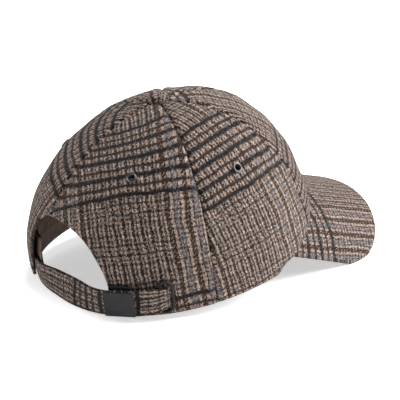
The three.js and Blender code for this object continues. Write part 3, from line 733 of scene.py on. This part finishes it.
# Yarns of the cloth, as letters, and the order that they lie in: the bold stripes, then the fine ones,
# and the counts of yarns up to the end of the bold stripes and of the whole repeat
YARNS = {
    "e": linear(146, 128, 115),
    "d": linear(106, 89, 79),
    "b": linear(27, 18, 14),
    "n": linear(48, 33, 26),
    "g": linear(72, 70, 73),
    "h": linear(106, 102, 102),
    "s": linear(33, 33, 38),
    "k": linear(4, 6, 12),
}
WARP_STRIPES = "bnnbneeesghghgseee", "eesgebbn", 77, 151
WEFT_STRIPES = "kkkkdeeeenbneeeeed", "eeneeeske", 76, 170
YARN_PITCH = 0.7

# Which yarn lies on top: the darker one more often, by a bias for each kind of stripe
WARP_BIAS, WEFT_BOLD_BIAS, WEFT_FINE_BIAS = 4, 8.5, 1.1
BLEND, TWILL_UNEVEN, TWILL_NOISE = 0.55, 1.1, (1.1, 3, 0.6)

# Each noise has its scale, detail and roughness, most of its values lie in NOISE_RANGE, and noises that
# must differ are cut at different depths. A bump has its depth in metres and its strength.
NOISE_RANGE = 0.3, 0.7

# How far the yarns wander and fray, in mm
DRIFT, DRIFT_NOISE, DRIFT_DEPTH = 0.5, (0.07,), 40.0
WARP_FRAY, WARP_FRAY_NOISE, WARP_FRAY_DEPTH = 0.6, (0.9, 4, 0.7), 7.0
WEFT_FRAY, WEFT_FRAY_NOISE, WEFT_FRAY_DEPTH = 1.1, (0.9, 4, 0.75), 13.0

# Unevenness of colour: along each yarn, in patches, and from cool to warm
YARN_APART, YARN_TONE_RUN, YARN_TONE, WEFT_TONE_DEPTH = 3.7, 0.55, (0.2, 2.0), 5.0
PATCH_NOISE, PATCH_WITHIN, PATCH_TONE = (0.7, 4, 0.7), (0.34, 0.66), (0.35, 1.65)
WARMTH_NOISE, WARMTH_DEPTH, WARMTH_WITHIN = (0.55, 3, 0.6), 21.0, (0.35, 0.65)
WARM_TINT, COOL_TINT = (1.1, 0.98, 0.9, 1), (0.9, 1.0, 1.08, 1)

# Roundness of the yarns, the painted shade at their edges and painted light on their crests, and the nap
# brushed up over them
YARN_ROUND, YARN_SHADE, YARN_RELIEF = (0.1, 0.5), (0.5, 1.12), 0.6
FIBRE_STRETCH, FIBRE_NOISE = (2.2, 1.0), (2.0, 4, 0.7)
NAP_COLOUR, NAP_WITHIN, NAP = linear(130, 124, 121), (0.5, 0.78), 0.1
WOOL_BUMP, WOOL_ROUGHNESS, WOOL_SPECULAR = (0.0003, 0.9), 0.95, 0.08
SHEEN, SHEEN_ROUGHNESS, SHEEN_TINT = 0.08, 0.45, (0.84, 0.86, 0.92, 1)

# Sweatband tape: its ribs, with painted shade in their troughs and painted light on their crests, its lines
# as height, half width and darkness, and its stitches
BAND_COLOUR, BAND_TONE_NOISE, BAND_TONE = linear(104, 88, 79), (0.15, 3), (0.75, 1.25)
BAND_RIB, BAND_RIB_NOISE, BAND_RIB_UNEVEN = 0.9, (2.0, 3), 0.8
BAND_RIB_WITHIN, BAND_RIB_SHADE = (-1.5, 1.5), (0.6, 1.35)
BAND_LINES = [(11.5, 0.5, 0.35), (13, 0.7, 0.6), (21, 0.5, 0.45), (29.2, 0.8, 0.4)]
BAND_STITCH_IN, BAND_STITCH, BAND_STITCH_SHARE, BAND_STITCH_HALF = 2.2, 2.6, 0.7, 0.3
THREAD_COLOUR, THREAD_RELIEF, RIB_RELIEF = linear(105, 92, 82), 1.5, 0.3
BAND_BUMP, BAND_ROUGHNESS, BAND_SPECULAR = (0.0002, 0.8), 0.92, 0.15

# Backing inside the panels
REVERSE_COLOUR, REVERSE_NOISE, REVERSE_TONE = linear(42, 36, 33), (1.6, 3, 0.7), (0.6, 1.4)
REVERSE_BUMP, REVERSE_ROUGHNESS, REVERSE_SPECULAR = (0.0002, 0.7), 0.95, 0.1

# Metals: a fine grain, and patches where they are rubbed
BLACK = dict(colour=linear(20, 20, 24), roughness=0.5, metallic=0.0, specular=0.2)
GREY = dict(colour=linear(84, 84, 89), roughness=0.38, metallic=1.0, specular=0.5)
GRAIN_NOISE, GRAIN_TONE, GRAIN_WEAR = (6.0, 4, 0.7), (0.85, 1.15), 0.04
RUBBED_NOISE, RUBBED_WITHIN, RUBBED_TONE, RUBBED_WEAR = (0.35, 3, 0.6), (0.35, 0.7), (0.9, 1.25), 0.08
METAL_BUMP = 0.00002, 0.6

# Floor
FLOOR_COLOUR, FLOOR_GLOW = (0.9, 0.9, 0.9, 1), 0.55
FLOOR_NOISE, FLOOR_TONE, FLOOR_ROUGHNESS, FLOOR_SPECULAR = (0.02, 4, 0.6), (0.985, 1.015), 0.9, 0.2


class Tree:
    """Short calls for building a material's nodes."""

    def __init__(self, name):
        self.material = bpy.data.materials.new(name)
        self.material.use_nodes = True
        self.nodes, self.links = self.material.node_tree.nodes, self.material.node_tree.links
        self.shader = self.nodes["Principled BSDF"]

    def put(self, socket, value):
        if isinstance(value, bpy.types.NodeSocket):
            self.links.new(value, socket)
        else:
            socket.default_value = value

    def node(self, kind, inputs, **settings):
        made = self.nodes.new(kind)
        for key, value in settings.items():
            setattr(made, key, value)
        for key, value in inputs.items():
            self.put(made.inputs[key], value)
        return made

    def math(self, operation, *values):
        return self.node("ShaderNodeMath", dict(enumerate(values)), operation=operation).outputs[0]

    def add(self, first, *more):
        for value in more:
            first = self.math("ADD", first, value)
        return first

    def times(self, a, b):
        return self.math("MULTIPLY", a, b)

    def vector(self, x, y, z=0.0):
        return self.node("ShaderNodeCombineXYZ", {"X": x, "Y": y, "Z": z}).outputs[0]

    def noise(self, at, scale, detail=2.0, roughness=0.5):
        inputs = {"Vector": at, "Scale": scale, "Detail": detail, "Roughness": roughness}
        return self.node("ShaderNodeTexNoise", inputs).outputs["Fac"]

    def blend(self, factor, a, b):
        return self.node("ShaderNodeMix", {0: factor, 2: a, 3: b}).outputs[0]

    def mix(self, factor, a, b, blend="MIX"):
        inputs = {0: factor, 6: a, 7: b}
        return self.node("ShaderNodeMix", inputs, data_type="RGBA", blend_type=blend).outputs[2]

    def remap(self, value, low, high, to_low, to_high):
        inputs = {"Value": value, "From Min": low, "From Max": high, "To Min": to_low, "To Max": to_high}
        return self.node("ShaderNodeMapRange", inputs).outputs[0]

    def spread(self, noise, low, high):
        """Most of a noise's range, spread between two values."""
        return self.remap(noise, *NOISE_RANGE, low, high)

    def sequence(self, index, letters):
        """Colour of the yarn with this index in a repeated row of yarns."""
        count = len(letters)
        place = self.math("DIVIDE", self.add(self.math("FLOORED_MODULO", index, count), 0.5), count)
        made = self.node("ShaderNodeValToRGB", {"Fac": place})
        ramp = made.color_ramp
        ramp.interpolation = "CONSTANT"
        ramp.elements[1].position = 1.0
        for k in range(count):
            if k == 0 or letters[k] != letters[k - 1]:
                element = ramp.elements[0] if k == 0 else ramp.elements.new(k / count)
                element.color = YARNS[letters[k]]
        ramp.elements[-1].color = YARNS[letters[-1]]
        return made.outputs[0]

    def stripes(self, index, bold, fine, bold_count, count):
        """Colour of the yarn, and whether it lies in the bold stripes."""
        place = self.math("FLOORED_MODULO", index, count)
        in_bold = self.math("LESS_THAN", place, bold_count - 0.5)
        bold_colour = self.sequence(place, bold)
        fine_colour = self.sequence(self.math("SUBTRACT", place, bold_count), fine)
        return self.mix(in_bold, fine_colour, bold_colour), in_bold

    def yarn_tone(self, index, run, seed):
        """Noise that is its own on every yarn and changes slowly along it."""
        return self.noise(self.vector(self.times(index, YARN_APART), self.times(run, YARN_TONE_RUN), seed), 1)

    def from_middle(self, place):
        """Distance from the middle of a yarn, in yarns."""
        return self.math("ABSOLUTE", self.math("SUBTRACT", self.math("FRACT", place), 0.5))

    def scaled(self, colour, factor):
        return self.mix(1.0, colour, self.vector(factor, factor, factor), "MULTIPLY")

    def cut(self):
        """Place on the flat cut in mm, and its two parts."""
        place = self.node("ShaderNodeUVMap", {}, uv_map="cut").outputs[0]
        apart = self.node("ShaderNodeSeparateXYZ", {"Vector": place})
        return place, apart.outputs[0], apart.outputs[1]

    def millimetres(self):
        place = self.node("ShaderNodeTexCoord", {}).outputs["Object"]
        inputs = {0: place, 1: (MM_PER_M,) * 3}
        return self.node("ShaderNodeVectorMath", inputs, operation="MULTIPLY").outputs[0]

    def bump(self, height, depth, strength):
        made = self.node("ShaderNodeBump", {"Strength": strength, "Distance": depth, "Height": height})
        self.put(self.shader.inputs["Normal"], made.outputs[0])

    def finish(self, colour, roughness, specular, metallic=0.0):
        self.put(self.shader.inputs["Base Color"], colour)
        self.put(self.shader.inputs["Roughness"], roughness)
        self.shader.inputs["Metallic"].default_value = metallic
        self.shader.inputs["Specular IOR Level"].default_value = specular
        return self.material


def wool_material():
    """Brushed wool laid yarn by yarn: at each place the warp or the weft is on top."""
    tree = Tree("wool")
    cut, u, v = tree.cut()
    drift_u = tree.spread(tree.noise(cut, *DRIFT_NOISE), -DRIFT, DRIFT)
    drift_v = tree.spread(tree.noise(tree.vector(v, u, DRIFT_DEPTH), *DRIFT_NOISE), -DRIFT, DRIFT)
    fray_u = tree.noise(tree.vector(u, v, WARP_FRAY_DEPTH), *WARP_FRAY_NOISE)
    fray_u = tree.spread(fray_u, -WARP_FRAY, WARP_FRAY)
    fray_v = tree.noise(tree.vector(v, u, WEFT_FRAY_DEPTH), *WEFT_FRAY_NOISE)
    fray_v = tree.spread(fray_v, -WEFT_FRAY, WEFT_FRAY)
    across = tree.math("DIVIDE", tree.add(u, drift_u, fray_u), YARN_PITCH)
    along = tree.math("DIVIDE", tree.add(v, drift_v, fray_v), YARN_PITCH)
    warp_index, weft_index = tree.math("FLOOR", across), tree.math("FLOOR", along)
    warp, _ = tree.stripes(warp_index, *WARP_STRIPES)
    weft, weft_bold = tree.stripes(weft_index, *WEFT_STRIPES)

    # Which yarn is on top
    twill = tree.math("SINE", tree.times(tree.add(across, along), math.pi / 2))
    twill = tree.add(twill, tree.spread(tree.noise(cut, *TWILL_NOISE), -TWILL_UNEVEN, TWILL_UNEVEN))
    light_warp, light_weft = (tree.node("ShaderNodeRGBToBW", {0: yarn}).outputs[0] for yarn in (warp, weft))
    lighter = tree.math("SUBTRACT", light_warp, light_weft)
    weft_bias = tree.remap(weft_bold, 0, 1, WEFT_FINE_BIAS, WEFT_BOLD_BIAS)
    bias = tree.blend(tree.math("GREATER_THAN", lighter, 0), WARP_BIAS, weft_bias)
    above = tree.math("SUBTRACT", twill, tree.times(bias, lighter))
    warp_over = tree.remap(above, -BLEND, BLEND, 0, 1)

    # Colour, uneven along the yarns and in patches
    weft_tone = tree.yarn_tone(weft_index, across, WEFT_TONE_DEPTH)
    warp_tone = tree.yarn_tone(warp_index, along, 0.0)
    tone = tree.blend(warp_over, weft_tone, warp_tone)
    colour = tree.scaled(tree.mix(warp_over, weft, warp), tree.spread(tone, *YARN_TONE))
    patches = tree.noise(cut, *PATCH_NOISE)
    colour = tree.scaled(colour, tree.remap(patches, *PATCH_WITHIN, *PATCH_TONE))
    warmth = tree.noise(tree.vector(v, u, WARMTH_DEPTH), *WARMTH_NOISE)
    tint = tree.mix(tree.remap(warmth, *WARMTH_WITHIN, 0, 1), COOL_TINT, WARM_TINT)
    colour = tree.mix(1.0, colour, tint, "MULTIPLY")

    # Round yarns under a brushed nap, with painted shade in the gaps between them
    ridge = tree.blend(warp_over, tree.from_middle(along), tree.from_middle(across))
    height = tree.remap(ridge, *YARN_ROUND, 1, 0)
    # Painted shade and light: each yarn's colour darkens towards its edges and lightens a little on its crest
    colour = tree.scaled(colour, tree.remap(height, 0, 1, *YARN_SHADE))
    stretch_u, stretch_v = FIBRE_STRETCH
    fibre = tree.noise(tree.vector(tree.times(u, stretch_u), tree.times(v, stretch_v)), *FIBRE_NOISE)
    colour = tree.mix(tree.remap(fibre, *NAP_WITHIN, 0, NAP), colour, NAP_COLOUR)
    tree.bump(tree.add(tree.times(height, YARN_RELIEF), fibre), *WOOL_BUMP)
    tree.shader.inputs["Sheen Weight"].default_value = SHEEN
    tree.shader.inputs["Sheen Roughness"].default_value = SHEEN_ROUGHNESS
    tree.shader.inputs["Sheen Tint"].default_value = SHEEN_TINT
    return tree.finish(colour, WOOL_ROUGHNESS, WOOL_SPECULAR)


def band_material():
    """Brown twill tape, folded along its upper edge and stitched along both."""
    tree = Tree("band")
    tape, u, v = tree.cut()
    turn = tree.times(tree.add(u, v), 2 * math.pi / BAND_RIB)
    uneven = tree.spread(tree.noise(tape, *BAND_RIB_NOISE), -BAND_RIB_UNEVEN, BAND_RIB_UNEVEN)
    rib = tree.add(tree.math("SINE", turn), uneven)
    tone = tree.spread(tree.noise(tape, *BAND_TONE_NOISE), *BAND_TONE)
    # Painted light and shade: the colour is lighter on the crests of the ribs and darker in their troughs
    colour = tree.scaled(BAND_COLOUR, tree.times(tone, tree.remap(rib, *BAND_RIB_WITHIN, *BAND_RIB_SHADE)))
    for up, width, strength in BAND_LINES:
        away = tree.math("ABSOLUTE", tree.math("SUBTRACT", v, up))
        colour = tree.scaled(colour, tree.remap(away, 0, width, strength, 1))
    from_edge = tree.math("PINGPONG", v, BAND_WIDTH / 2)
    stitch = tree.math("ABSOLUTE", tree.math("SUBTRACT", from_edge, BAND_STITCH_IN))
    dash = tree.math("FLOORED_MODULO", u, BAND_STITCH)
    dash = tree.math("LESS_THAN", dash, BAND_STITCH_SHARE * BAND_STITCH)
    thread = tree.times(tree.math("LESS_THAN", stitch, BAND_STITCH_HALF), dash)
    colour = tree.mix(thread, colour, THREAD_COLOUR)
    tree.bump(tree.add(tree.times(rib, RIB_RELIEF), tree.times(thread, THREAD_RELIEF)), *BAND_BUMP)
    return tree.finish(colour, BAND_ROUGHNESS, BAND_SPECULAR)


def reverse_material():
    """Dark fused backing on the inside of the panels."""
    tree = Tree("reverse")
    weave = tree.noise(tree.millimetres(), *REVERSE_NOISE)
    tree.bump(weave, *REVERSE_BUMP)
    colour = tree.scaled(REVERSE_COLOUR, tree.spread(weave, *REVERSE_TONE))
    return tree.finish(colour, REVERSE_ROUGHNESS, REVERSE_SPECULAR)


def metal_material(name, colour, roughness, metallic, specular):
    """Coated metal with a fine grain, rubbed in places."""
    tree = Tree(name)
    place = tree.millimetres()
    grain, rubbed = tree.noise(place, *GRAIN_NOISE), tree.noise(place, *RUBBED_NOISE)
    shade = tree.remap(rubbed, *RUBBED_WITHIN, *RUBBED_TONE)
    shade = tree.times(tree.spread(grain, *GRAIN_TONE), shade)
    wear = tree.spread(rubbed, roughness + RUBBED_WEAR, roughness - RUBBED_WEAR)
    wear = tree.add(wear, tree.remap(grain, 0, 1, -GRAIN_WEAR, GRAIN_WEAR))
    tree.bump(grain, *METAL_BUMP)
    return tree.finish(tree.scaled(colour, shade), wear, specular, metallic)


def floor_material():
    """Pale paper sweep that glows a little."""
    tree = Tree("floor")
    fibre = tree.noise(tree.millimetres(), *FLOOR_NOISE)
    tree.shader.inputs["Emission Color"].default_value = (1, 1, 1, 1)
    tree.shader.inputs["Emission Strength"].default_value = FLOOR_GLOW
    colour = tree.scaled(FLOOR_COLOUR, tree.spread(fibre, *FLOOR_TONE))
    return tree.finish(colour, FLOOR_ROUGHNESS, FLOOR_SPECULAR)


wool, band, reverse = wool_material(), band_material(), reverse_material()
black, grey = metal_material("black_metal", **BLACK), metal_material("grey_metal", **GREY)
for node, piece in pieces.items():
    piece.data.materials.append(band if node == "sweatband" else wool)
    if node in PANELS:
        piece.data.materials.append(reverse)
for node, piece in metal_pieces.items():
    piece.data.materials.append(grey if "eyelet" in node else black)

# Camera, as fitted to the photo: the scale and the middle of the cap's frame are in the photo's pixels
CAMERA_AZIMUTH, CAMERA_ELEVATION, CAMERA_ROLL = (math.radians(x) for x in (230.8, 26.5, -5.65))
CAMERA_DISTANCE = 1500
PIXELS_PER_MM, CENTRE_X, CENTRE_Y = 1.507, 173.8, 248.7
PHOTO_SIZE, SENSOR = 400, 36


def make_camera():
    a, e, r = CAMERA_AZIMUTH, CAMERA_ELEVATION, CAMERA_ROLL
    back = np.array([math.sin(a) * math.cos(e), -math.cos(a) * math.cos(e), math.sin(e)])
    level = np.array([math.cos(a), math.sin(a), 0])
    rise = np.cross(back, level)
    across = level * math.cos(r) + rise * math.sin(r)
    upward = -level * math.sin(r) + rise * math.cos(r)
    middle = PHOTO_SIZE / 2
    target = across * (middle - CENTRE_X) / PIXELS_PER_MM + upward * (CENTRE_Y - middle) / PIXELS_PER_MM
    place, aim = (to_row(p) / MM_PER_M for p in (back * CAMERA_DISTANCE, target))
    tip = to_row(back * CAMERA_DISTANCE + upward) / MM_PER_M - place
    forward = Vector(aim - place).normalized()
    right = forward.cross(Vector(tip)).normalized()
    data = bpy.data.cameras.new("camera")
    data.lens = SENSOR * PIXELS_PER_MM * np.linalg.norm(back * CAMERA_DISTANCE - target) / PHOTO_SIZE
    data.sensor_width = SENSOR
    camera = bpy.data.objects.new("camera", data)
    turn = Matrix((right, right.cross(forward), -forward)).transposed().to_4x4()
    camera.matrix_world = Matrix.Translation(Vector(place)) @ turn
    bpy.context.scene.collection.objects.link(camera)
    bpy.context.scene.camera = camera


make_camera()

# Stage and light, in metres. Each light has its place, size and power.
FLOOR_HALF = 6
LIGHT_AIM = Vector((0, 0, 0.05))
LIGHTS = {
    "key": ((-0.95, -1.7, 1.1), 1.2, 84),
    "top": ((-0.3, -0.5, 2.0), 1.6, 62),
    "fill": ((1.6, 1.4, 0.7), 1.2, 26),
}
WORLD_COLOUR, WORLD_STRENGTH = (0.95, 0.96, 1, 1), 0.18

floor_mesh = bpy.data.meshes.new("floor")
floor_corners = [(x * FLOOR_HALF, y * FLOOR_HALF, 0) for x, y in ((-1, -1), (1, -1), (1, 1), (-1, 1))]
floor_mesh.from_pydata(floor_corners, [], [(0, 1, 2, 3)])
floor = bpy.data.objects.new("floor", floor_mesh)
bpy.context.scene.collection.objects.link(floor)
floor_mesh.materials.append(floor_material())

for name, (place, size, power) in LIGHTS.items():
    data = bpy.data.lights.new(name, "AREA")
    data.size, data.energy = size, power
    light = bpy.data.objects.new(name, data)
    light.location = place
    light.rotation_mode = "QUATERNION"
    light.rotation_quaternion = (LIGHT_AIM - light.location).to_track_quat("-Z", "Y")
    bpy.context.scene.collection.objects.link(light)

world = bpy.data.worlds.new("world")
world.use_nodes = True
world.node_tree.nodes["Background"].inputs["Color"].default_value = WORLD_COLOUR
world.node_tree.nodes["Background"].inputs["Strength"].default_value = WORLD_STRENGTH
bpy.context.scene.world = world
bpy.context.scene.view_settings.view_transform = "Standard"
